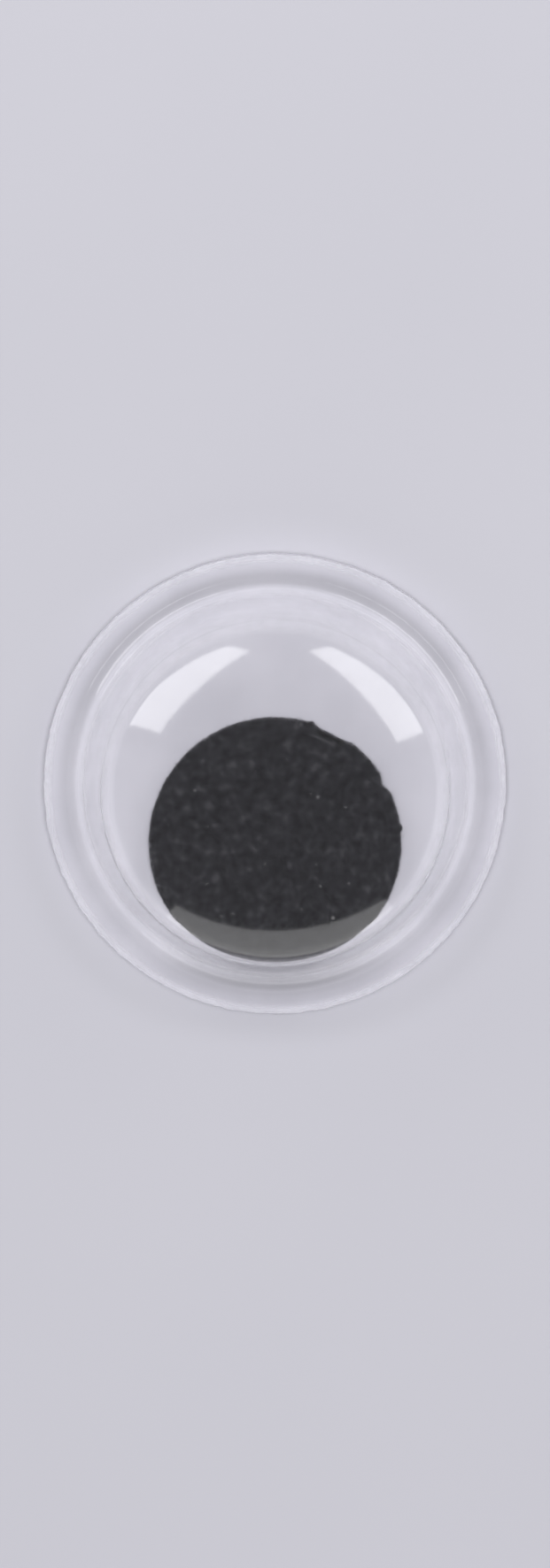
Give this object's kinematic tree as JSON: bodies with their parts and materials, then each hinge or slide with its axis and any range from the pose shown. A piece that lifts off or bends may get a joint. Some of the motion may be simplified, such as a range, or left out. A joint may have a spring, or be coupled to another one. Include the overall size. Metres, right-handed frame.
{
  "type": "googly eye",
  "caption": "Round self-adhesive googly eye: a clear shallow dome with a flat rim, a white back disc, a sticky pad and a loose flat black pupil that rolls round inside.",
  "frame": {"origin": "centre of the sticky underside, at the eye's lowest level", "axes": "+Z out of the dome along the eye's axis; +Y up on the face that wears the eye, so the pupil rests towards -Y; +X to the right"},
  "size_m": [0.01, 0.01, 0.0039],
  "materials": {
    "clear_dome": "clear glossy formed film",
    "white_disc": "white satin",
    "adhesive": "milky, tacky",
    "black_pupil": "matt charcoal black with fine pale specks"
  },
  "bodies": {
    "housing": {"clear_dome": "clear_dome", "backing_disc": "white_disc", "adhesive_pad": "adhesive"},
    "pupil": {"pupil": "black_pupil"}
  },
  "joints": [
    {"name": "pupil_roll", "type": "hinge", "parent": "housing", "child": "pupil", "pos_m": [0, 0, 0.00067], "axis": [0, 0, 1], "continuous": true}
  ]
}
